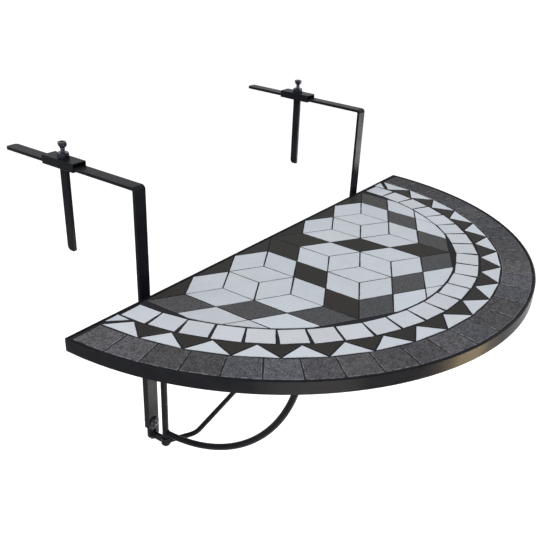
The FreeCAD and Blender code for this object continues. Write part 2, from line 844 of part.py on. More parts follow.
def sleeve(side, sign):
    """Box-section sleeve that slides on an arm, with the screw's hole in its roof."""
    body = new_body("Sleeve")
    drawing = sketch_on(body, "XZ", -clamp_place)
    half = sleeve_half + sleeve_wall
    rectangle(drawing, -half, half, sleeve_floor - sleeve_wall, sleeve_roof + sleeve_wall)
    rectangle(drawing, -sleeve_half, sleeve_half, sleeve_floor, sleeve_roof)
    tube = pad(body, drawing, sleeve_length, midplane=True)
    round_edges(body, tube, sleeve_wall / 2, lambda edge: near(edge.BoundBox.YLength, sleeve_length)
                and near(abs(edge.BoundBox.XMin), half) and near(abs(edge.BoundBox.XMax), half))
    hole = sketch_on(body, "XY", sleeve_roof)
    circle(hole, (0, clamp_place), screw_dia / 2 + screw_fit)
    cut_through(body, hole, midplane=False, backwards=True)
    keep(place(body, sign * half_span), "clamp_sleeve_" + side)


def clamp_leg(side, sign):
    """Leg under the sleeve that hangs behind the railing, with rounded lower corners."""
    body = new_body("ClampLeg")
    drawing = sketch_on(body, "YZ")
    high = sleeve_floor - sleeve_wall
    rectangle(drawing, clamp_place - leg_depth / 2, clamp_place + leg_depth / 2, high - leg_length, high)
    solid = pad(body, drawing, leg_thick, midplane=True)
    for radius, edge_y in ((leg_outer_corner, clamp_place + leg_depth / 2),
                           (leg_inner_corner, clamp_place - leg_depth / 2)):
        solid = round_edges(body, solid, radius, lambda edge: near(edge.BoundBox.ZMax, high - leg_length)
                            and near(edge.BoundBox.XLength, leg_thick)
                            and near(edge.BoundBox.YMin, edge_y))
    keep(place(body, sign * half_span), "clamp_leg_" + side)


def clamp_fittings(side, sign):
    """Welded nut, hexagon-headed screw and the pressure foot that bears on the arm."""
    roof_top = sleeve_roof + sleeve_wall
    nut = hex_nut("ClampNut", clamp_nut_flats, clamp_nut_height, screw_dia + screw_fit * 2)
    keep(place(nut, sign * half_span, clamp_place, roof_top), "clamp_nut_" + side)
    foot = cylinder("Foot", foot_dia / 2, foot_thick)
    keep(place(foot, sign * half_span, clamp_place, arm_top + sleeve_floor_play), "clamp_foot_" + side)
    foot_top = arm_top + sleeve_floor_play + foot_thick
    head_z = roof_top + clamp_nut_height + screw_neck
    shank = cylinder("Shank", screw_dia / 2, head_z - foot_top)
    head = hexagon("Head", screw_head_flats, screw_head_height)
    place(head, 0, 0, head_z - foot_top)
    screw = combine("Fuse", "ClampScrew", shank, head)
    keep(place(screw, sign * half_span, clamp_place, foot_top), "clamp_screw_" + side)


for side, sign in (("left", -1), ("right", 1)):
    for make in (hanging_bar, post, post_fastener, table_hinge, lower_hinge, upper_hinge,
                 gate_rod, gate_cap, gate_bow, sleeve, clamp_leg, clamp_fittings):
        make(side, sign)
stretcher()
rim()
board()
brace("rear_brace", rear_brace_place)
brace("front_brace", front_brace_place)
tiles = [slate_ring(), square_ring(), *triangle_rings(), *field()]
grout(tiles)

doc.recompute()
failed = [item.Name for item in doc.Objects if "Invalid" in item.State or "Error" in item.State]
failed += [item.Label for item in pieces if item.Shape.isNull() or not item.Shape.isValid()]
if failed:
    raise RuntimeError("failed: " + ", ".join(failed))
os.makedirs("parts", exist_ok=True)
for piece in pieces:
    piece.Shape.exportStep("parts/%s.step" % piece.Label)
print(len(pieces), "pieces written")
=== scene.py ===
"""Looks of a half-round mosaic table that hangs from a balcony railing."""

import json
import math
from collections import namedtuple

import bmesh
import bpy
from mathutils import Matrix, Vector


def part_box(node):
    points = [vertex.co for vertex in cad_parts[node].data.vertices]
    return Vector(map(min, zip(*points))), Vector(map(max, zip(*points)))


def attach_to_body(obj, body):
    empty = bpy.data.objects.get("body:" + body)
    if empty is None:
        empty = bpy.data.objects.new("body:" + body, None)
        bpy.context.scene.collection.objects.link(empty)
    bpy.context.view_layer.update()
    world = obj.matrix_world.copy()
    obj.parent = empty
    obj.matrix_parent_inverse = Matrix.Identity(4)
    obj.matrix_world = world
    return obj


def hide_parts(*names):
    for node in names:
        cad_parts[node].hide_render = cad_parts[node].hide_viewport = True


bl_info = {
    "name": "Balcony railing bar table",
    "version": (1, 0, 0),
    "blender": (4, 5, 0),
    "location": "3D View > Sidebar > Bar Table",
    "description": "Dresses the railing table with hand-laid tiles, grout, welds, fasteners and finishes",
    "category": "Object",
}

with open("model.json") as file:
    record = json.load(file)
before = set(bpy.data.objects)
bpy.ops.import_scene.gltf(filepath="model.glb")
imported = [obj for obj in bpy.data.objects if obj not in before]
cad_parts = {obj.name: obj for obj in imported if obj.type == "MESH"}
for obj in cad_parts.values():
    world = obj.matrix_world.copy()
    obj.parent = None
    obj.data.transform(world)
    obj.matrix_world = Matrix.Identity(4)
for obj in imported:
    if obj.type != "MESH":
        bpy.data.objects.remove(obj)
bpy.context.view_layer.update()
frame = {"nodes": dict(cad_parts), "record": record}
BODY_OF = {node: body for body, nodes in frame["record"]["behaviour"]["bodies"].items() for node in nodes}
SLOT_OF = {part["node"]: part["material_slot"] for part in frame["record"]["subparts"]}
SIDES = ("left", "right")
MM = 0.001
IMAGE_WIDTH = 540
# Specular level of the coat, and of tiles and cement: low, so that they stay dark in a white studio
COAT_GLOSS = 0.035
MATT_GLOSS = 0.03


def srgb(red, green, blue):
    """Linear colour of an sRGB value in 0 to 255."""
    def linear(level):
        level /= 255
        return level / 12.92 if level <= 0.04045 else ((level + 0.055) / 1.055) ** 2.4
    return tuple(linear(level) for level in (red, green, blue))


def box_of(node):
    """Lowest and highest corner of a node, and the middle between them."""
    low, high = (Vector(corner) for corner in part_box(node))
    return low, high, (low + high) / 2


def colour(name, text, value):
    return bpy.props.FloatVectorProperty(name=name, description=text, subtype="COLOR", size=3,
                                         min=0, max=1, default=value)


def length(name, text, value):
    return bpy.props.FloatProperty(name=name, description=text, subtype="DISTANCE", unit="LENGTH",
                                   default=value, precision=5)


def factor(name, text, value):
    return bpy.props.FloatProperty(name=name, description=text, subtype="FACTOR", min=0, max=1, default=value)


class FinishSettings(bpy.types.PropertyGroup):
    """Colours of the coatings, tiles and grout."""
    frame_black: colour("Frame black", "Powder coat on all bars", srgb(23, 24, 28))
    zinc: colour("Fastener plating", "Dark zinc plate on bolts, nuts and screws", srgb(42, 43, 53))
    white_tile: colour("White tile", "Rhombi and triangles", srgb(199, 205, 212))
    pale_grey_tile: colour("Pale grey tile", "Ring of squares", srgb(201, 205, 212))
    grey_tile: colour("Grey tile", "Rhombi around the field", srgb(82, 82, 84))
    slate_tile: colour("Slate tile", "Outer ring", srgb(83, 83, 87))
    black_tile: colour("Black tile", "Chains and triangles", srgb(50, 49, 47))
    grout: colour("Grout", "Cement between the tiles", srgb(46, 47, 51))
    cement: colour("Board", "Fibre cement board under the tiles", srgb(168, 167, 163))


class TileSettings(bpy.types.PropertyGroup):
    """How the tiles are cut and laid by hand."""
    wobble: length("Wobble", "How far a cut edge strays from straight", 0.5 * MM)
    step: length("Wave", "Size of the waves along a cut edge", 14 * MM)
    turn: bpy.props.FloatProperty(name="Turn", description="Largest turn of a tile from its place",
                                  subtype="ANGLE", default=math.radians(0.9))
    shrink: factor("Shrink", "Largest share by which a tile is cut small", 0.022)
    uneven: length("Uneven", "Largest difference in height between tiles", 0.22 * MM)
    edge_round: length("Edge rounding", "Width of the worn edge round each face", 0.45 * MM)
    cuts: bpy.props.IntProperty(name="Cuts", description="Points added along each side", default=6, min=1)
    seed: bpy.props.IntProperty(name="Seed", description="Start of the random choices", default=7)


class MetalSettings(bpy.types.PropertyGroup):
    """Edges, welds and threads of the steel pieces."""
    bar_edge: length("Bar edge", "Rounding along the edges of rolled flat bar", 0.55 * MM)
    sheet_edge: length("Sheet edge", "Rounding along the edges of thin pieces", 0.35 * MM)
    nut_chamfer: length("Nut chamfer", "How far the corners of a nut are turned off", 1.0 * MM)
    weld_radius: length("Weld bead", "Half the width of a weld bead", 1.0 * MM)
    weld_ripple: factor("Weld ripple", "How much the bead swells at each ripple", 0.14)
    weld_step: length("Weld step", "Distance from one ripple to the next", 1.6 * MM)
    pitch: length("Thread pitch", "Advance of the clamp screw in one turn", 1.0 * MM)
    thread_depth: length("Thread depth", "Height of the thread over its root", 0.45 * MM)
    socket_flats: length("Socket", "Width across the flats of the clamp screw's socket", 5.0 * MM)
    socket_depth: length("Socket depth", "Depth of the clamp screw's socket", 4.0 * MM)
    bolt_shank: length("Bolt shank", "Half the width of the post bolt's shank", 3.0 * MM)
    cross_width: length("Cross width", "Width of a slot of the post bolt's cross", 1.9 * MM)
    cross_length: length("Cross length", "Length of a slot of the post bolt's cross", 8.0 * MM)
    cross_depth: length("Cross depth", "Depth of the post bolt's cross", 2.6 * MM)


class StudioSettings(bpy.types.PropertyGroup):
    """Camera of the photograph, floor and lamps."""
    eye: bpy.props.FloatVectorProperty(name="Camera place", description="Where the camera stands",
                                       subtype="TRANSLATION", size=3, default=(-0.84685, -0.61172, 0.30818))
    aim: bpy.props.FloatVectorProperty(name="Camera turn", description="Pitch, roll and heading",
                                       subtype="EULER", size=3,
                                       default=tuple(math.radians(a) for a in (59.603, -3.266, -55.456)))
    lens: bpy.props.FloatProperty(name="Lens", description="Focal length on a 36 mm sensor",
                                  unit="CAMERA", default=51.1)
    centre: bpy.props.FloatVectorProperty(name="Picture centre", description="Pixel that the lens axis meets",
                                          size=2, default=(297.8, 335.6))
    floor_drop: length("Floor", "How far the floor lies under the railing seat", 1.0)
    floor_colour: colour("Floor colour", "Plain pale floor", (0.86, 0.86, 0.86))
    floor_glow: factor("Floor glow", "White that the floor adds where it is looked at", 0.6)
    sky_light: factor("Sky light", "Strength of the even light from all around", 0.5)


SETTINGS = (("bar_table_finish", FinishSettings), ("bar_table_tiles", TileSettings),
            ("bar_table_metal", MetalSettings), ("bar_table_studio", StudioSettings))


def settings(name):
    return getattr(bpy.context.scene, "bar_table_" + name)


class Nodes:
    """A small helper that adds nodes to a tree and joins their sockets."""

    def __init__(self, tree):
        self.tree = tree

    def add(self, kind, inputs=None, **values):
        node = self.tree.nodes.new(kind)
        for key, value in values.items():
            setattr(node, key, value)
        self.fill(node, inputs or {})
        return node

    def first(self, kind, inputs=None, **values):
        """The first output of a new node."""
        return self.add(kind, inputs, **values).outputs[0]

    def fill(self, node, inputs):
        for key, value in inputs.items():
            self.feed(node.inputs[key], value)

    def feed(self, socket, value):
        if isinstance(value, bpy.types.NodeSocket):
            self.tree.links.new(value, socket)
        else:
            socket.default_value = value

    def math(self, operation, *values, clamp=False):
        return self.first("ShaderNodeMath", dict(enumerate(values)), operation=operation, use_clamp=clamp)

    def vector(self, operation, first, second):
        other = "Scale" if operation == "SCALE" else 1
        node = self.add("ShaderNodeVectorMath", {0: first, other: second}, operation=operation)
        return node.outputs["Value" if operation == "DOT_PRODUCT" else "Vector"]

    def remap(self, value, low, high, to_low=0.0, to_high=1.0):
        return self.first("ShaderNodeMapRange", {"Value": value, "From Min": low, "From Max": high,
                                                 "To Min": to_low, "To Max": to_high})

    def group(self, tree, **inputs):
        return self.add("ShaderNodeGroup", inputs, node_tree=tree).outputs

    def random(self, low, high, key, seed):
        """A random number between two values, the same for all that share a key."""
        return self.add("FunctionNodeRandomValue", {2: low, 3: high, "ID": key, "Seed": seed},
                        data_type="FLOAT").outputs[1]

    def on_faces(self, geometry, name, value, **chosen):
        """Store a number on all faces, or on those of a Selection."""
        return self.first("GeometryNodeStoreNamedAttribute",
                          {"Geometry": geometry, "Name": name, "Value": value, **chosen},
                          data_type="FLOAT", domain="FACE")

    def join(self, *parts):
        node = self.add("GeometryNodeJoinGeometry")
        for part in parts:
            self.tree.links.new(part, node.inputs[0])
        return node.outputs[0]

    def mix(self, share, first, second):
        node = self.add("ShaderNodeMix", data_type="RGBA")
        for socket, value in ((node.inputs[0], share), (node.inputs[6], first), (node.inputs[7], second)):
            self.feed(socket, (*value, 1) if isinstance(value, tuple) and len(value) == 3 else value)
        return node.outputs[2]


def node_group(kind, name, inputs, outputs):
    """A tree, its nodes and its sockets, which are given by their names and kinds."""
    tree = bpy.data.node_groups.new(name, kind)
    for way, sockets in (("INPUT", inputs), ("OUTPUT", outputs)):
        for label, value in sockets.items():
            tree.interface.new_socket(label, in_out=way, socket_type="NodeSocket" + value)
    nodes = Nodes(tree)
    return tree, nodes, nodes.add("NodeGroupInput").outputs, nodes.add("NodeGroupOutput").inputs


def floats(names):
    return dict.fromkeys(names.split(), "Float")


def shader_tree(name, inputs, outputs):
    return node_group("ShaderNodeTree", name, {"Vector": "Vector", **floats(inputs)}, floats(outputs))


def grain_group():
    """Speckles and slow mottling of a stony or coated surface."""
    tree, n, start, end = shader_tree("Grain", "Fine Broad Contrast", "Speckle Mottle Height")
    fine = n.first("ShaderNodeTexNoise", {"Vector": start["Vector"], "Scale": start["Fine"],
                                          "Detail": 2.0, "Roughness": 0.6})
    broad = n.first("ShaderNodeTexNoise", {"Vector": start["Vector"], "Scale": start["Broad"],
                                           "Detail": 4.0, "Roughness": 0.55})
    speckle = n.remap(fine, 0.35, 0.65)
    pull = n.math("SUBTRACT", speckle, 0.5)
    n.feed(end["Speckle"], n.math("ADD", n.math("MULTIPLY", pull, start["Contrast"]), 0.5, clamp=True))
    n.feed(end["Mottle"], n.remap(broad, 0.3, 0.7))
    n.feed(end["Height"], n.math("ADD", n.math("MULTIPLY", fine, 0.35), broad))
    return tree


def worn_edge_group():
    """Mask of the rounded edges of tiles, which the piece carries as an attribute."""
    tree, n, start, end = shader_tree("Worn edge", "Edge", "Mask")
    chips = n.first("ShaderNodeTexNoise", {"Vector": start["Vector"], "Scale": 170.0, "Detail": 3.0})
    n.feed(end["Mask"], n.math("MULTIPLY", start["Edge"], n.remap(chips, 0.4, 0.62), clamp=True))
    return tree


def edge_wear_and_highlight_group():
    """Mask of the sharp corners of coated metal, where the coat is thin and worn and where a painted
    highlight lies along the edges.
    """
    tree, n, start, end = shader_tree("Rubbed edge", "Width Gain", "Mask")
    soft = n.first("ShaderNodeBevel", {"Radius": start["Width"]}, samples=4)
    flat = n.add("ShaderNodeNewGeometry").outputs["Normal"]
    bend = n.math("SUBTRACT", 1.0, n.vector("DOT_PRODUCT", soft, flat))
    patches = n.first("ShaderNodeTexNoise", {"Vector": start["Vector"], "Scale": 160.0, "Detail": 3.0})
    # Edge mask, partly wear and partly a painted highlight along the edges
    worn = n.math("MULTIPLY", n.math("MULTIPLY", bend, start["Gain"]),
                  n.remap(patches, 0.38, 0.62, 0.25, 1.0), clamp=True)
    n.feed(end["Mask"], worn)
    return tree


def new_material(name):
    material = bpy.data.materials.new(name)
    material.use_nodes = True
    nodes = Nodes(material.node_tree)
    shader = material.node_tree.nodes["Principled BSDF"]
    place = nodes.add("ShaderNodeTexCoord").outputs["Object"]
    return material, nodes, shader, place


def bump(nodes, height, strength, distance):
    node = nodes.add("ShaderNodeBump", {"Height": height, "Strength": strength, "Distance": distance})
    return node.outputs["Normal"]


def shade(colour_value, share):
    return tuple(min(1, level * share) for level in colour_value)


def powder_coat(grain, rubbed):
    """Glossy black powder coat with a faint orange peel, lighter along its edges: partly thin worn coat,
    partly a painted highlight.
    """
    base = tuple(settings("finish").frame_black)
    material, n, shader, place = new_material("Black powder coat")
    effect = n.group(grain, Vector=place, Fine=1400.0, Broad=38.0, Contrast=0.3)
    edge = n.group(rubbed, Vector=place, Width=0.0007, Gain=5.0)
    clouded = n.mix(n.remap(effect["Mottle"], 0.2, 0.9, 0.0, 0.6), base, shade(base, 1.7))
    peel = n.first("ShaderNodeTexNoise", {"Vector": place, "Scale": 620.0, "Detail": 1.0})
    # The edges are mixed towards grey: a painted highlight along them, with some worn coat
    n.fill(shader, {"Base Color": n.mix(n.math("MULTIPLY", edge["Mask"], 0.55), clouded, srgb(74, 75, 80)),
                    "Roughness": n.remap(effect["Mottle"], 0, 1, 0.24, 0.34),
                    "Specular IOR Level": COAT_GLOSS,
                    "Normal": bump(n, peel, 0.12, 0.0004)})
    return material


def dark_zinc(grain, rubbed):
    """Blue-black plating of the fasteners, brighter along its edges: partly worn plating, partly a painted
    highlight.
    """
    base = tuple(settings("finish").zinc)
    material, n, shader, place = new_material("Dark zinc")
    effect = n.group(grain, Vector=place, Fine=1800.0, Broad=260.0, Contrast=0.6)
    edge = n.group(rubbed, Vector=place, Width=0.0005, Gain=7.0)
    plated = n.mix(effect["Mottle"], shade(base, 0.55), shade(base, 1.25))
    # The edges are mixed towards pale blue-grey: a painted highlight along them, with some worn plating
    n.fill(shader, {"Base Color": n.mix(n.math("MULTIPLY", edge["Mask"], 0.6), plated, srgb(150, 154, 172)),
                    "Roughness": n.remap(effect["Speckle"], 0, 1, 0.26, 0.4), "Metallic": 0.85,
                    "Normal": bump(n, effect["Height"], 0.1, 0.0002)})
    return material


# How the body of a tile looks: scales of its speckle and clouds, contrast of the speckle, how much the
# speckle, the clouds and the tiles differ in brightness, how much the tiles differ in hue, how matt it
# is, and how chalky its edges are. ROUGH_SPREAD is how much more matt its clouds make it.
ROUGH_SPREAD = 0.14
CeramicLook = namedtuple("CeramicLook", "fine broad speckle range mottle batch hue rough wear")
GLAZED = CeramicLook(700.0, 55.0, 0.5, 0.05, 0.03, 0.07, 0.008, 0.45, 0.6)
STONY = CeramicLook(430.0, 110.0, 1.4, 0.26, 0.12, 0.08, 0.02, 0.6, 0.6)
RIVEN = CeramicLook(460.0, 110.0, 1.4, 0.36, 0.3, 0.32, 0.045, 0.62, 0.8)
DENSE = CeramicLook(600.0, 60.0, 0.6, 0.15, 0.08, 0.06, 0.02, 0.42, 0.6)
# For each tile slot: name of its material, its look and the colour of its chalky edges
CERAMICS = {"white_tile": ("White ceramic", GLAZED, (226, 229, 234)),
            "pale_grey_tile": ("Pale grey ceramic", GLAZED, (226, 228, 232)),
            "grey_tile": ("Grey ceramic", STONY, (118, 118, 120)),
            "slate_tile": ("Slate ceramic", RIVEN, (146, 147, 152)),
            "black_tile": ("Black ceramic", DENSE, (88, 88, 88))}


def tile_ceramic(name, base, grain, worn_edge, look, chalk):
    """Cut ceramic: speckled face, a brightness for each tile and chalky worn edges."""
    material, n, shader, place = new_material(name)
    effect = n.group(grain, Vector=place, Fine=look.fine, Broad=look.broad, Contrast=look.speckle)
    tone = n.add("ShaderNodeAttribute", attribute_name="tone").outputs["Fac"]
    edge = n.add("ShaderNodeAttribute", attribute_name="edge").outputs["Fac"]
    worn = n.group(worn_edge, Vector=place, Edge=edge)
    body = n.mix(effect["Speckle"], shade(base, 1 - look.range), shade(base, 1 + look.range))
    cloudy = n.vector("SCALE", body, n.remap(effect["Mottle"], 0, 1, 1 - look.mottle, 1 + look.mottle))
    batch = n.mix(n.math("FRACT", n.math("MULTIPLY", tone, 7.3)), (1 + look.hue, 1.0, 1 - look.hue),
                  (1 - look.hue, 1.0, 1 + look.hue))
    hued = n.vector("MULTIPLY", cloudy, batch)
    toned = n.vector("SCALE", hued, n.remap(tone, 0, 1, 1 - look.batch, 1 + look.batch))
    roughness = n.remap(effect["Mottle"], 0, 1, look.rough, look.rough + ROUGH_SPREAD)
    n.fill(shader, {"Base Color": n.mix(n.math("MULTIPLY", worn["Mask"], look.wear), toned, chalk),
                    "Roughness": roughness, "Specular IOR Level": MATT_GLOSS,
                    "Normal": bump(n, effect["Height"], 0.25, 0.0003)})
    return material


def cement(name, base, grain, fine, strength, distance):
    """Rough cement, for the grout and for the board under it."""
    material, n, shader, place = new_material(name)
    effect = n.group(grain, Vector=place, Fine=fine, Broad=120.0, Contrast=0.8)
    body = n.mix(effect["Speckle"], shade(base, 0.72), shade(base, 1.25))
    n.fill(shader, {"Base Color": n.mix(n.remap(effect["Mottle"], 0, 1, 0, 0.5), body, shade(base, 0.8)),
                    "Roughness": 0.9, "Specular IOR Level": MATT_GLOSS,
                    "Normal": bump(n, effect["Height"], strength, distance)})
    return material


def finishes():
    """All materials by the record's slot names, made once."""
    if not finishes.made:
        look = settings("finish")
        grain = grain_group()
        worn = worn_edge_group()
        rubbed = edge_wear_and_highlight_group()
        made = finishes.made
        made["black_paint"] = powder_coat(grain, rubbed)
        made["dark_zinc"] = dark_zinc(grain, rubbed)
        for slot, (name, ware, chalk) in CERAMICS.items():
            made[slot] = tile_ceramic(name, tuple(getattr(look, slot)), grain, worn, ware, srgb(*chalk))
        made["grout"] = cement("Cement grout", tuple(look.grout), grain, 700.0, 0.6, 0.0008)
        made["cement_board"] = cement("Fibre cement", tuple(look.cement), grain, 500.0, 0.3, 0.0006)
    return finishes.made


finishes.made = {}


def place_object(name, data):
    item = bpy.data.objects.new(name, data)
    bpy.context.scene.collection.objects.link(item)
    return item


def evaluated_mesh(item):
    """Give the object the mesh that its modifiers make, and remove them."""
    graph = bpy.context.evaluated_depsgraph_get()
    graph.update()
    mesh = bpy.data.meshes.new_from_object(item.evaluated_get(graph), preserve_all_data_layers=True,
                                           depsgraph=graph)
    item.modifiers.clear()
    old = item.data
    item.data = mesh
    if old.users == 0:
        bpy.data.meshes.remove(old)


def discard(item):
    """Remove a helper object and its mesh."""
    mesh = item.data
    bpy.data.objects.remove(item)
    bpy.data.meshes.remove(mesh)


def attach(item, body, slot):
    """Give a finished piece its material and the body that it rides on."""
    item.data.materials.clear()
    item.data.materials.append(finishes()[slot])
    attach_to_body(item, body)


def stand_for(item, *nodes):
    attach(item, BODY_OF[nodes[0]], SLOT_OF[nodes[0]])
    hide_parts(*nodes)


def mesh_object(name, work):
    """An object from worked faces, all turned outwards."""
    bmesh.ops.recalc_face_normals(work, faces=work.faces)
    mesh = bpy.data.meshes.new(name)
    work.to_mesh(mesh)
    work.free()
    return place_object(name, mesh)


def turned(name, profile, steps=48):
    """Solid turned about Z from pairs of radius and height, from its foot up to its top."""
    work = bmesh.new()
    rings = []
    for radius, height in profile:
        spokes = [2 * math.pi * i / steps for i in range(steps if radius else 1)]
        rings.append([work.verts.new((radius * math.cos(a), radius * math.sin(a), height)) for a in spokes])
    for low, high in zip(rings, rings[1:]):
        for i in range(steps):
            j = (i + 1) % steps
            corners = (low[i % len(low)], low[j % len(low)], high[j % len(high)], high[i % len(high)])
            work.faces.new(list(dict.fromkeys(corners)))
    return mesh_object(name, work)


def slot_block(name, width, length_along, top, depth, angle):
    """Block that cuts one slot of a cross recess: narrower at its foot, and most of it sunk in."""
    foot_share, sunk_share = 0.55, 0.9
    work = bmesh.new()
    bmesh.ops.create_cube(work, size=1)
    for vert in work.verts:
        narrow = foot_share if vert.co.z < 0 else 1.0
        vert.co = (vert.co.x * length_along * narrow, vert.co.y * width * narrow,
                   top + (vert.co.z + 0.5) * depth - depth * sunk_share)
    bmesh.ops.rotate(work, verts=work.verts, matrix=Matrix.Rotation(angle, 3, "Z"))
    return mesh_object(name, work)


def carve(item, tools, operation="DIFFERENCE"):
    """Cut a piece with other solids, or keep what it shares with them, and remove those."""
    for tool in tools:
        modifier = item.modifiers.new("Carve", "BOOLEAN")
        modifier.operation = operation
        modifier.solver = "EXACT"
        modifier.object = tool
    evaluated_mesh(item)
    for tool in tools:
        discard(tool)


def smooth(item, degrees=35):
    """Shade a piece smoothly, with its sharp edges kept and its flat faces left flat."""
    item.data.shade_smooth()
    item.data.set_sharp_from_angle(angle=math.radians(degrees))
    flat = item.modifiers.new("Flat faces", "WEIGHTED_NORMAL")
    flat.keep_sharp = True
    flat.weight = 100
    evaluated_mesh(item)
    return item


def turn_and_move(item, axis, degrees, place=(0, 0, 0)):
    item.data.transform(Matrix.Translation(place) @ Matrix.Rotation(math.radians(degrees), 4, axis))


def merged_copy(node, name):
    """A node's mesh with its loose triangles joined and its flat faces made whole."""
    work = bmesh.new()
    work.from_mesh(frame["nodes"][node].data)
    bmesh.ops.remove_doubles(work, verts=work.verts, dist=1e-6)
    bmesh.ops.dissolve_limit(work, angle_limit=math.radians(0.4), verts=work.verts, edges=work.edges)
    clean = bpy.data.meshes.new(name)
    work.to_mesh(clean)
    work.free()
    return place_object(name, clean)


def eased(node, radius):
    """Stand in for a steel piece with a copy whose sharp edges are rounded, if it has a radius."""
    item = merged_copy(node, node + "_eased")
    if radius:
        rounding = item.modifiers.new("Edges", "BEVEL")
        rounding.width = radius
        rounding.segments = 2
        rounding.limit_method = "ANGLE"
        rounding.angle_limit = math.radians(40)
        evaluated_mesh(item)
    stand_for(smooth(item), node)


def off_axis(point, axis):
    """Distance of a point from an upright line through the x and y of axis."""
    return math.hypot(point.x - axis[0], point.y - axis[1])


def corner_loop(node, test, across=None):
    """Points of a node that pass a test, in order round their own middle, seen along the across axis."""
    points = {tuple(round(c, 6) for c in vert.co) for vert in frame["nodes"][node].data.vertices
              if test(vert.co)}
    points = [Vector(point) for point in points]
    if not points:
        raise RuntimeError(node + ": no points for a weld")
    centre = sum(points, Vector()) / len(points)
    spread = [max(p[a] for p in points) - min(p[a] for p in points) for a in range(3)]
    flat = spread.index(min(spread)) if across is None else across
    first, second = [a for a in range(3) if a != flat]
    points.sort(key=lambda p: math.atan2(p[second] - centre[second], p[first] - centre[first]))
    return points + points[:1]


def end_loop(node, axis, high):
    """Outline of a node's end face along one axis."""
    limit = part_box(node)[1 if high else 0][axis]
    return corner_loop(node, lambda p: abs(p[axis] - limit) < 1e-5, axis)


def geometry_tree(name, whole, real):
    """A tree from geometry to geometry, with whole numbers, real numbers and a material as inputs."""
    inputs = {"Geometry": "Geometry", **dict.fromkeys(whole.split(), "Int"), **floats(real),
              "Material": "Material"}
    return node_group("GeometryNodeTree", name, inputs, {"Geometry": "Geometry"})


def finish_tree(nodes, geometry, material, end):
    real = nodes.first("GeometryNodeRealizeInstances", {"Geometry": geometry})
    painted = nodes.first("GeometryNodeSetMaterial", {"Geometry": real, "Material": material})
    nodes.feed(end["Geometry"], painted)


def run_tree(item, tree, values):
    """Run a geometry tree on an object with named input values and keep the plain mesh."""
    modifier = item.modifiers.new(tree.name, "NODES")
    modifier.node_group = tree
    names = {socket.name: socket.identifier for socket in tree.interface.items_tree
             if socket.item_type == "SOCKET" and socket.in_out == "INPUT"}
    for name, value in values.items():
        modifier[names[name]] = value
    evaluated_mesh(item)


# Steps of a tile's worn edge: share of its width that each goes inwards, and share of its height
EDGE_STEPS = ((0.35, 0.62), (0.65, 0.38))
# Share by which a face of side 1 is scaled down for an inset of 1: twice the inset, and a little more
INSET_SCALE = 2.1
# Added to the seed, so that each kind of draw has numbers of its own
SIZE_DRAW, RISE_DRAW, TONE_DRAW = 11, 23, 31
# How far the waves of one tile lie from those of the next
WAVE_APART = 3.7


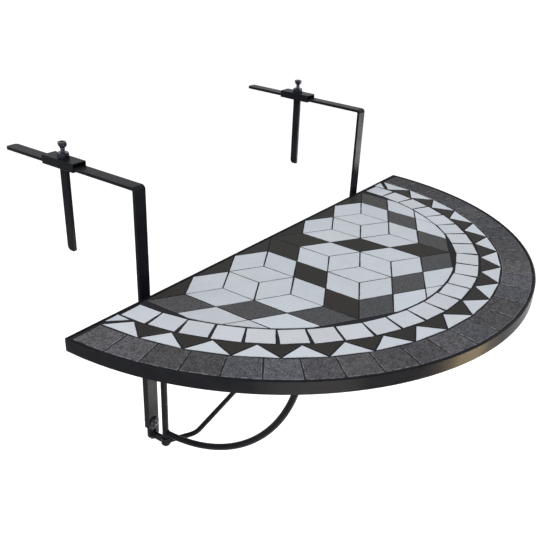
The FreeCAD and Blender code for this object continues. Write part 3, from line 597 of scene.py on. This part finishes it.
def tile_tree():
    """From flat outlines: hand-cut tiles with wavy sides, a small turn and worn edges."""
    tree, n, start, end = geometry_tree("Hand laid tiles", "Cuts Seed", "Wobble Wave Turn Shrink Uneven Edge "
                                        "Base Height Darkest Lightest")
    loops = n.first("GeometryNodeMeshToCurve", {"Mesh": start["Geometry"]})
    fine = n.first("GeometryNodeSubdivideCurve", {"Curve": loops, "Cuts": start["Cuts"]})
    here = n.first("GeometryNodeInputPosition")
    which = n.add("GeometryNodeCurveOfPoint").outputs["Curve Index"]
    middle = n.first("GeometryNodeFieldOnDomain", {0: here}, domain="CURVE", data_type="FLOAT_VECTOR")
    drift = n.math("ADD", n.math("MULTIPLY", which, WAVE_APART), start["Seed"])
    waves = n.add("ShaderNodeTexNoise", {"Vector": here, "W": drift,
                                         "Scale": n.math("DIVIDE", 1.0, start["Wave"]),
                                         "Detail": 2.0, "Roughness": 0.6}, noise_dimensions="4D")
    stray = n.vector("SCALE", n.vector("SUBTRACT", waves.outputs["Color"], (0.5, 0.5, 0.5)),
                     n.math("MULTIPLY", start["Wobble"], 3.0))
    turn = n.random(n.math("MULTIPLY", start["Turn"], -1.0), start["Turn"], which, start["Seed"])
    size = n.random(n.math("SUBTRACT", 1.0, start["Shrink"]), 1.0, which,
                    n.math("ADD", start["Seed"], SIZE_DRAW))
    arm = n.vector("SCALE", n.vector("SUBTRACT", here, middle), size)
    turned_arm = n.first("ShaderNodeVectorRotate", {"Vector": arm, "Angle": turn}, rotation_type="Z_AXIS")
    moved = n.vector("ADD", n.vector("ADD", middle, turned_arm), stray)
    cut = n.first("GeometryNodeSetPosition", {"Geometry": fine, "Position": moved})
    filled = n.first("GeometryNodeFillCurve", {"Curve": cut}, mode="NGONS")
    lift = n.first("ShaderNodeCombineXYZ", {"Z": start["Base"]})
    low = n.first("GeometryNodeSetPosition", {"Geometry": filled, "Offset": lift})
    island = n.add("GeometryNodeInputMeshIsland").outputs["Island Index"]
    rise = n.random(n.math("SUBTRACT", start["Height"], start["Uneven"]), start["Height"], island,
                    n.math("ADD", start["Seed"], RISE_DRAW))
    tone = n.random(start["Darkest"], start["Lightest"], island, n.math("ADD", start["Seed"], TONE_DRAW))
    flat = n.on_faces(n.on_faces(low, "tone", tone), "rise", rise)
    height = n.first("GeometryNodeInputNamedAttribute", {"Name": "rise"}, data_type="FLOAT")
    block = n.add("GeometryNodeExtrudeMesh", {"Mesh": flat, "Offset": (0, 0, 1), "Individual": False,
                                              "Offset Scale": n.math("SUBTRACT", height, start["Edge"])},
                  mode="FACES")
    top, shape = block.outputs["Top"], block.outputs["Mesh"]
    side = n.math("SQRT", n.first("GeometryNodeInputMeshFaceArea"))
    for inset, up in EDGE_STEPS:
        ring = n.add("GeometryNodeExtrudeMesh", {"Mesh": shape, "Selection": top, "Offset": (0, 0, 1),
                                                 "Offset Scale": n.math("MULTIPLY", start["Edge"], up),
                                                 "Individual": False}, mode="FACES")
        share = n.math("DIVIDE", n.math("MULTIPLY", start["Edge"], INSET_SCALE * inset), side)
        smaller = n.first("GeometryNodeScaleElements", {"Geometry": ring.outputs["Mesh"],
                                                        "Selection": ring.outputs["Top"],
                                                        "Scale": n.math("SUBTRACT", 1.0, share)})
        shape = n.on_faces(smaller, "edge", 1.0, Selection=ring.outputs["Side"])
        top = ring.outputs["Top"]
    under = n.first("GeometryNodeFlipFaces", {"Mesh": flat})
    closed = n.first("GeometryNodeMergeByDistance", {"Geometry": n.join(shape, under), "Distance": 1e-6})
    finish_tree(n, closed, start["Material"], end)
    return tree


# Points along each ripple of a weld, how much its unevenness counts beside the ripples, its scale, and
# the bead's width where it has neither
RIPPLE_POINTS, UNEVEN_SHARE, UNEVEN_SCALE, BARE_WIDTH = 5.0, 1.5, 300.0, 0.9


def weld_tree():
    """From edge paths: beads of weld metal that swell in even ripples."""
    tree, n, start, end = geometry_tree("Weld bead", "Seed", "Radius Ripple Step")
    path = n.first("GeometryNodeMeshToCurve", {"Mesh": start["Geometry"]})
    fine = n.first("GeometryNodeResampleCurve",
                   {"Curve": path, "Length": n.math("DIVIDE", start["Step"], RIPPLE_POINTS)}, mode="LENGTH")
    along = n.add("GeometryNodeSplineParameter").outputs["Length"]
    phase = n.math("MULTIPLY", n.math("DIVIDE", along, start["Step"]), 2 * math.pi)
    here = n.first("GeometryNodeInputPosition")
    rough = n.first("ShaderNodeTexNoise", {"Vector": here, "W": start["Seed"], "Scale": UNEVEN_SCALE},
                    noise_dimensions="4D")
    swell = n.math("ADD", n.math("SINE", phase), n.math("MULTIPLY", rough, UNEVEN_SHARE))
    width = n.math("MULTIPLY", start["Radius"],
                   n.math("ADD", n.math("MULTIPLY", swell, start["Ripple"]), BARE_WIDTH))
    outline = n.first("GeometryNodeCurvePrimitiveCircle", {"Resolution": 8, "Radius": 1.0})
    bead = n.first("GeometryNodeCurveToMesh", {"Curve": fine, "Profile Curve": outline, "Scale": width,
                                               "Fill Caps": True})
    round_bead = n.first("GeometryNodeSetShadeSmooth", {"Geometry": bead})
    finish_tree(n, round_bead, start["Material"], end)
    return tree


def thread_tree():
    """To a shank: a screw thread, which is a ridge that winds up from the foot and starts thin."""
    tree, n, start, end = geometry_tree("Screw thread", "", "Pitch Radius Depth Foot Length")
    turns = n.math("DIVIDE", start["Length"], start["Pitch"])
    coil = n.first("GeometryNodeCurveSpiral", {
        "Resolution": 28, "Rotations": turns, "Height": start["Length"], "Start Radius": start["Radius"],
        "End Radius": start["Radius"]})
    along = n.add("GeometryNodeSplineParameter").outputs["Factor"]
    width = n.math("MULTIPLY", start["Depth"], n.remap(along, 0.0, 0.05, 0.2, 1.0))
    lift = n.first("ShaderNodeCombineXYZ", {"Z": start["Foot"]})
    raised = n.first("GeometryNodeSetPosition", {"Geometry": coil, "Offset": lift})
    outline = n.first("GeometryNodeCurvePrimitiveCircle", {"Resolution": 4, "Radius": 1.0})
    ridge = n.first("GeometryNodeCurveToMesh", {"Curve": raised, "Profile Curve": outline, "Scale": width,
                                                "Fill Caps": True})
    finish_tree(n, n.join(start["Geometry"], ridge), start["Material"], end)
    return tree


def top_outlines(node):
    """The flat top faces of a node's tiles, each as one face."""
    item = merged_copy(node, node + "_laid")
    work = bmesh.new()
    work.from_mesh(item.data)
    down = [face for face in work.faces if face.normal.z < 0.99]
    bmesh.ops.delete(work, geom=down, context="FACES")
    bmesh.ops.dissolve_limit(work, angle_limit=math.radians(1), verts=work.verts, edges=work.edges)
    work.to_mesh(item.data)
    work.free()
    return item


# How each group of tiles is laid: shares of the common turn, shrink and edge width, and the darkest and
# lightest tone from 0 to 1 that its tiles take.
Laying = namedtuple("Laying", "turn shrink edge darkest lightest")
LAYING = {"square_ring": Laying(2.6, 2.2, 1.0, 0.3, 0.8),
          "slate_ring": Laying(0.7, 0.3, 1.9, 0.0, 1.0),
          "white_triangles": Laying(1.2, 1.4, 1.0, 0.7, 1.0),
          "black_triangles": Laying(0.8, 0.8, 1.0, 0.0, 0.6),
          "white_rhombi": Laying(0.6, 0.7, 1.0, 0.2, 0.6),
          "grey_rhombi": Laying(0.7, 0.8, 1.2, 0.1, 0.9)}
USUAL = Laying(1.0, 1.0, 1.0, 0.0, 1.0)


class BARTABLE_OT_lay_tiles(bpy.types.Operator):
    """Cut and lay the tiles of every ring and of the field by hand"""
    bl_idname = "bar_table.lay_tiles"
    bl_label = "Lay the tiles"

    def execute(self, context):
        laying = settings("tiles")
        tree = tile_tree()
        groups = [node for node, slot in SLOT_OF.items() if slot.endswith("_tile")]
        for number, node in enumerate(groups):
            low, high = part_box(node)
            item = top_outlines(node)
            lay = LAYING.get(node, USUAL)
            run_tree(item, tree, {"Cuts": laying.cuts, "Wobble": laying.wobble, "Wave": laying.step,
                                  "Turn": laying.turn * lay.turn, "Shrink": laying.shrink * lay.shrink,
                                  "Uneven": laying.uneven, "Edge": laying.edge_round * lay.edge,
                                  "Base": low[2], "Height": high[2] - low[2],
                                  "Darkest": lay.darkest, "Lightest": lay.lightest,
                                  "Seed": laying.seed + number, "Material": finishes()[SLOT_OF[node]]})
            if not item.data.polygons:
                raise RuntimeError(node + ": no tiles were made")
            stand_for(item, node)
        return {"FINISHED"}


class BARTABLE_OT_spread_grout(bpy.types.Operator):
    """Fill the tray with grout up to just under the tiles"""
    bl_idname = "bar_table.spread_grout"
    bl_label = "Spread the grout"

    def execute(self, context):
        low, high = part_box("grout")
        radius = (high[0] - low[0]) / 2
        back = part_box("rim")[1][1]
        lean = math.asin((back - high[1]) / radius)
        work = bmesh.new()
        steps = 160
        angles = [math.pi + lean + (math.pi - 2 * lean) * i / steps for i in range(steps + 1)]
        face = work.faces.new([work.verts.new((radius * math.cos(a), back + radius * math.sin(a), low[2]))
                               for a in angles])
        grown = bmesh.ops.extrude_face_region(work, geom=[face])
        lifted = [item for item in grown["geom"] if isinstance(item, bmesh.types.BMVert)]
        bmesh.ops.translate(work, verts=lifted, vec=(0, 0, high[2] - low[2]))
        stand_for(mesh_object("grout_spread", work), "grout")
        return {"FINISHED"}


# Steel pieces and the setting that their edges are rounded by, or None where they stay as they are
SINGLE_STEEL = {"rim": None, "rear_brace": "sheet_edge", "front_brace": "sheet_edge", "stretcher": None}
PAIRED_STEEL = {"hanging_bar": "bar_edge", "post": "bar_edge", "clamp_leg": "bar_edge",
                "clamp_sleeve": "sheet_edge", "clamp_foot": "sheet_edge", "table_lug": "sheet_edge",
                "table_ear": "sheet_edge", "table_pin": "sheet_edge", "lower_hinge": "sheet_edge",
                "upper_hinge": "sheet_edge", "gate_rod": None, "gate_bow": None, "gate_cap": "sheet_edge"}


class BARTABLE_OT_ease_steel(bpy.types.Operator):
    """Round the sharp edges of the bars, plates, pins and caps, and leave the edges of the rim, the stretcher
    and the gate rods and bows as they are
    """
    bl_idname = "bar_table.ease_steel"
    bl_label = "Ease the steel edges"

    def execute(self, context):
        pieces = list(SINGLE_STEEL.items())
        pieces += [(node + "_" + side, edge) for side in SIDES for node, edge in PAIRED_STEEL.items()]
        for node, edge in pieces:
            eased(node, getattr(settings("metal"), edge) if edge else 0)
        return {"FINISHED"}


# Turned outline of the clamp screw's head: shares of its corner radius and of its height
HEAD_OUTLINE = ((0.62, 0.0), (0.96, 0.36), (1.0, 0.44), (1.0, 0.88), (0.9, 1.0))
# The screw's tip: its share of the shank's radius, and the height that it tapers over
TIP_SHARE, TIP_TAPER = 0.8, 0.6 * MM
# The solid that rounds the head: its radii low down and on top as shares of the head's corner radius,
# the share of the head's height that it narrows over, and how far it stands past the top
DOME_LOW, DOME_TOP, DOME_FALL, DOME_PAST = 0.99, 0.86, 0.14, 0.2 * MM
# Degrees by which the cutters of the head are turned, so that no corner of theirs meets one of its own
DOME_TURN, SOCKET_TURN = 3, 17
# Half the angle from one corner of a hexagon to the next
HALF_CORNER = math.radians(30)
# Degrees by which the two slots of the post bolt's cross are turned
CROSS_TURNS = (20, 110)
# Share of the post bolt head's height that its upright edge takes, and of its radius that its seat takes
BOLT_EDGE, BOLT_SEAT = 0.22, 0.97
# How far a cutter stands past what it cuts
PAST = 0.1 * MM


class BARTABLE_OT_cut_fasteners(bpy.types.Operator):
    """Clamp screws with thread and socket, post bolts with a cross, and chamfered nuts"""
    bl_idname = "bar_table.cut_fasteners"
    bl_label = "Cut the fasteners"

    def execute(self, context):
        metal = settings("metal")
        thread = thread_tree()
        for side in SIDES:
            self.clamp_screw(side, metal, thread)
            self.post_bolt(side, metal)
            for name, axis in (("clamp_nut", 2), ("post_nut", 1), ("table_pin_nut", 0)):
                self.nut(name + "_" + side, axis, metal)
        return {"FINISHED"}

    def clamp_screw(self, side, metal, thread):
        node = "clamp_screw_" + side
        low, high, middle = box_of(node)
        foot, top = low.z, high.z
        shank = min(v.co.z for v in frame["nodes"][node].data.vertices
                    if off_axis(v.co, middle) > (high.y - low.y) * 0.45)
        foot_low, foot_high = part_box("clamp_foot_" + side)
        root = (foot_high[0] - foot_low[0]) / 3 - metal.thread_depth
        core = turned(node + "_cut", [(0, foot), (root * TIP_SHARE, foot), (root, foot + TIP_TAPER),
                                      (root, shank + MM), (0, shank + MM)], 24)
        run_tree(core, thread, {"Pitch": metal.pitch, "Radius": root, "Depth": metal.thread_depth,
                                "Foot": foot + MM, "Length": shank - foot - MM,
                                "Material": finishes()[SLOT_OF[node]]})
        corner, height = (high.x - low.x) / 2, top - shank
        outline = [(corner * out, shank + height * up) for out, up in HEAD_OUTLINE]
        head = turned(node + "_head", [(0, shank), *outline, (0, top)], 6)
        wide, over = corner * DOME_LOW, top + DOME_PAST
        dome = turned("dome", [(0, shank - MM), (wide, shank - MM), (wide, top - height * DOME_FALL),
                               (corner * DOME_TOP, over), (0, over)])
        flats = metal.socket_flats / 2 / math.cos(HALF_CORNER)
        floor = top - metal.socket_depth
        socket = turned("socket", [(0, floor), (flats, floor), (flats, top + MM), (0, top + MM)], 6)
        turn_and_move(dome, "Z", DOME_TURN)
        turn_and_move(socket, "Z", SOCKET_TURN)
        carve(head, [dome], "INTERSECT")
        carve(head, [socket])
        joined = bmesh.new()
        joined.from_mesh(core.data)
        joined.from_mesh(head.data)
        joined.to_mesh(core.data)
        joined.free()
        discard(head)
        core.data.transform(Matrix.Translation((middle.x, middle.y, 0)))
        stand_for(smooth(core, 30), node)

    def post_bolt(self, side, metal):
        node = "post_bolt_" + side
        low, high, middle = box_of(node)
        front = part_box("post_" + side)[0][1]
        radius, rise, back = (high.x - low.x) / 2, front - low.y, high.y - front
        shank, chamfer = metal.bolt_shank, 0.5 * MM
        dome = [(radius * math.cos(a), rise * (BOLT_EDGE + (1 - BOLT_EDGE) * math.sin(a)))
                for a in [math.radians(step) for step in range(0, 86, 9)]]
        bolt = turned(node + "_cut", [(0, -back), (shank - chamfer, -back), (shank, chamfer - back),
                                      (shank, 0), (radius * BOLT_SEAT, 0), *dome, (0, rise)])
        carve(bolt, [slot_block("slot", metal.cross_width, metal.cross_length, rise, metal.cross_depth,
                                math.radians(angle)) for angle in CROSS_TURNS])
        turn_and_move(bolt, "X", 90, (middle.x, front, middle.z))
        stand_for(smooth(bolt, 30), node)

    def nut(self, node, axis, metal):
        low, high, middle = box_of(node)
        size = high - low
        corner, half = max(size[a] for a in range(3) if a != axis) / 2, size[axis] / 2
        item = merged_copy(node, node + "_cut")
        slope = math.tan(math.radians(30))
        outer, waist = corner + PAST, half - (metal.nut_chamfer + PAST) * slope
        inner, end = corner - metal.nut_chamfer - PAST / slope, half + PAST
        blank = turned("blank", [(0, -end), (inner, -end), (outer, -waist), (outer, waist),
                                 (inner, end), (0, end)])
        turn_and_move(blank, *(("Y", 90), ("X", 90), ("Z", 0))[axis], middle)
        carve(item, [blank], "INTERSECT")
        stand_for(smooth(item, 30), node)


# How far the beads of a brace start from its end, how long they are, and how far those of a lug start
BRACE_INSET, BRACE_BEAD, LUG_INSET = 3 * MM, 9 * MM, 2 * MM


class BARTABLE_OT_weld_joints(bpy.types.Operator):
    """Lay weld beads where steel pieces of one body meet"""
    bl_idname = "bar_table.weld_joints"
    bl_label = "Weld the joints"

    def execute(self, context):
        metal = settings("metal")
        tree = weld_tree()
        for number, (body, loops) in enumerate(self.seams().items()):
            points = [point for loop in loops for point in loop]
            edges, start = [], 0
            for loop in loops:
                edges += [(start + i, start + i + 1) for i in range(len(loop) - 1)]
                start += len(loop)
            mesh = bpy.data.meshes.new(body + "_welds")
            mesh.from_pydata(points, edges, [])
            item = place_object(body + "_welds", mesh)
            run_tree(item, tree, {"Radius": metal.weld_radius, "Ripple": metal.weld_ripple,
                                  "Step": metal.weld_step, "Seed": number,
                                  "Material": finishes()["black_paint"]})
            attach(item, body, "black_paint")
        return {"FINISHED"}

    def seams(self):
        """Paths of the beads, grouped by the body that carries them."""
        paths = {"frame": [], "tabletop": []}
        for brace in ("rear_brace", "front_brace"):
            low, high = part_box(brace)
            for x, inward in ((low[0], 1), (high[0], -1)):
                start = x + inward * BRACE_INSET
                for y in (low[1], high[1]):
                    paths["tabletop"].append([(start, y, high[2]), (start + inward * BRACE_BEAD, y, high[2])])
        for side in SIDES:
            paths["tabletop"].append(end_loop("table_ear_" + side, 2, True))
            paths["frame"] += [end_loop(hinge + side, 1, True) for hinge in ("lower_hinge_", "upper_hinge_")]
            post_low, post_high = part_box("post_" + side)
            lug_low, lug_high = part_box("table_lug_" + side)
            inner = post_high[0] if side == "left" else post_low[0]
            paths["frame"].append([(inner, post_low[1], lug_low[2] + LUG_INSET),
                                   (inner, post_low[1], lug_high[2] - LUG_INSET)])
            low, high, axis = box_of("gate_rod_" + side)
            near_rod = (high.x - low.x) / 2 + 0.1 * MM
            paths["gate_" + side] = [
                corner_loop("gate_bow_" + side,
                            lambda p: off_axis(p, axis) < near_rod and (p.z > axis.z) == above, 1)
                for above in (True, False)]
            low, high, _ = box_of("lower_hinge_" + side)
            near_collar = (high.x - low.x) / 2 + 0.05 * MM
            paths["frame"].append(corner_loop("stretcher", lambda p: off_axis(p, axis) < near_collar, 1))
            paths["clamp_" + side] = [end_loop("clamp_leg_" + side, 2, True),
                                      end_loop("clamp_nut_" + side, 2, False)]
        return paths


class BARTABLE_OT_paint_rest(bpy.types.Operator):
    """Give the pieces that keep their solids the finish of their slot"""
    bl_idname = "bar_table.paint_rest"
    bl_label = "Paint the remaining pieces"

    def execute(self, context):
        for node, item in frame["nodes"].items():
            item.data.materials.clear()
            item.data.materials.append(finishes()[SLOT_OF[node]])
        return {"FINISHED"}


# Lamps of the studio, and soft cards that the rim, the posts and the right bar mirror: where each
# stands and looks, its width and height in metres, its power in watts and its tint
Lamp = namedtuple("Lamp", "place target wide high power tint")
TABLE_MIDDLE = (0.0, -0.15, -0.2)
LAMPS = {
    "key_lamp": Lamp((-1.6, 0.6, 2.4), TABLE_MIDDLE, 1.8, 1.8, 38.0, (1, 1, 1)),
    "fill_lamp": Lamp((-1.4, -2.2, 1.5), TABLE_MIDDLE, 1.6, 1.6, 13.0, (0.95, 0.97, 1)),
    "edge_lamp": Lamp((2.2, -1.2, 1.2), TABLE_MIDDLE, 1.2, 1.2, 12.0, (1, 1, 1)),
    "warm_card": Lamp((0.52, -1.22, -0.74), (-0.11, -0.37, -0.14), 0.42, 0.3, 8.0, (1, 0.76, 0.42)),
    "grey_card": Lamp((-0.86, -1.1, -0.81), (-0.28, -0.27, -0.14), 0.8, 0.3, 12.0, (1, 0.92, 0.78)),
    "post_card": Lamp((0.33, -0.6, -0.87), (-0.25, -0.01, -0.25), 0.3, 0.42, 4.0, (0.94, 0.97, 1)),
    "bar_card": Lamp((1.3, -0.6, -0.42), (0.25, 0, -0.05), 0.3, 0.22, 3.0, (1, 1, 1))}
# Half the width of the floor
FLOOR_REACH = 12.0


class BARTABLE_OT_build_stage(bpy.types.Operator):
    """Pale floor, soft lamps and the photograph's camera"""
    bl_idname = "bar_table.build_stage"
    bl_label = "Build the stage"

    def execute(self, context):
        studio = settings("studio")
        scene = context.scene
        floor_mesh = bpy.data.meshes.new("floor")
        corners = [(x * FLOOR_REACH, y * FLOOR_REACH, -studio.floor_drop)
                   for x, y in ((-1, -1), (1, -1), (1, 1), (-1, 1))]
        floor_mesh.from_pydata(corners, [], [(0, 1, 2, 3)])
        floor_mesh.materials.append(self.floor_material(studio))
        place_object("floor", floor_mesh)
        for name, lamp in LAMPS.items():
            light = bpy.data.lights.new(name, "AREA")
            light.shape = "RECTANGLE"
            light.size, light.size_y = lamp.wide, lamp.high
            light.energy = lamp.power
            light.color = lamp.tint
            item = place_object(name, light)
            item.location = lamp.place
            way = Vector(lamp.target) - Vector(lamp.place)
            item.rotation_euler = way.to_track_quat("-Z", "Y").to_euler()
        self.sky(scene, studio)
        camera_data = bpy.data.cameras.new("photo_camera")
        camera_data.lens = studio.lens
        camera_data.shift_x = -(studio.centre[0] - IMAGE_WIDTH / 2) / IMAGE_WIDTH
        camera_data.shift_y = (studio.centre[1] - IMAGE_WIDTH / 2) / IMAGE_WIDTH
        camera_data.clip_start = 0.01
        camera = place_object("photo_camera", camera_data)
        camera.location = studio.eye
        camera.rotation_euler = studio.aim
        scene.camera = camera
        scene.view_settings.view_transform = "Standard"
        return {"FINISHED"}

    def floor_material(self, studio):
        material, n, shader, _ = new_material("Pale floor")
        n.fill(shader, {"Base Color": (*studio.floor_colour, 1), "Roughness": 1.0,
                        "Specular IOR Level": 0.0, "Emission Color": (1, 1, 1, 1),
                        "Emission Strength": n.math("MULTIPLY", self.seen(n), studio.floor_glow)})
        return material

    def seen(self, nodes):
        """1 where the background is looked at, straight or in a reflection or through a piece, else 0."""
        rays = nodes.add("ShaderNodeLightPath").outputs
        mirrored = nodes.math("MAXIMUM", rays["Is Glossy Ray"], rays["Is Transmission Ray"])
        return nodes.math("MAXIMUM", rays["Is Camera Ray"], mirrored)

    def sky(self, scene, studio):
        world = bpy.data.worlds.new("studio")
        scene.world = world
        world.use_nodes = True
        n = Nodes(world.node_tree)
        n.fill(world.node_tree.nodes["Background"],
               {"Color": (1, 1, 1, 1), "Strength": n.remap(self.seen(n), 0, 1, studio.sky_light, 1.0)})


class BARTABLE_PT_panel(bpy.types.Panel):
    """Buttons for the pieces of the table"""
    bl_label = "Bar Table"
    bl_idname = "BARTABLE_PT_panel"
    bl_space_type = "VIEW_3D"
    bl_region_type = "UI"
    bl_category = "Bar Table"

    def draw(self, context):
        for operator in OPERATORS:
            self.layout.operator(operator.bl_idname)
        for name, group in SETTINGS:
            box = self.layout.box()
            box.label(text=group.__doc__)
            for key in group.__annotations__:
                box.prop(getattr(context.scene, name), key)


OPERATORS = (BARTABLE_OT_lay_tiles, BARTABLE_OT_spread_grout, BARTABLE_OT_ease_steel,
             BARTABLE_OT_cut_fasteners, BARTABLE_OT_weld_joints, BARTABLE_OT_paint_rest,
             BARTABLE_OT_build_stage)


def register():
    for group in [item[1] for item in SETTINGS] + list(OPERATORS) + [BARTABLE_PT_panel]:
        bpy.utils.register_class(group)
    for name, group in SETTINGS:
        setattr(bpy.types.Scene, name, bpy.props.PointerProperty(type=group))


def unregister():
    for name, group in SETTINGS:
        delattr(bpy.types.Scene, name)
    for group in [BARTABLE_PT_panel] + list(reversed(OPERATORS)) + [item[1] for item in SETTINGS]:
        bpy.utils.unregister_class(group)


def main():
    register()
    for operator in OPERATORS:
        area, name = operator.bl_idname.split(".")
        getattr(getattr(bpy.ops, area), name)()


if __name__ == "__main__":
    main()
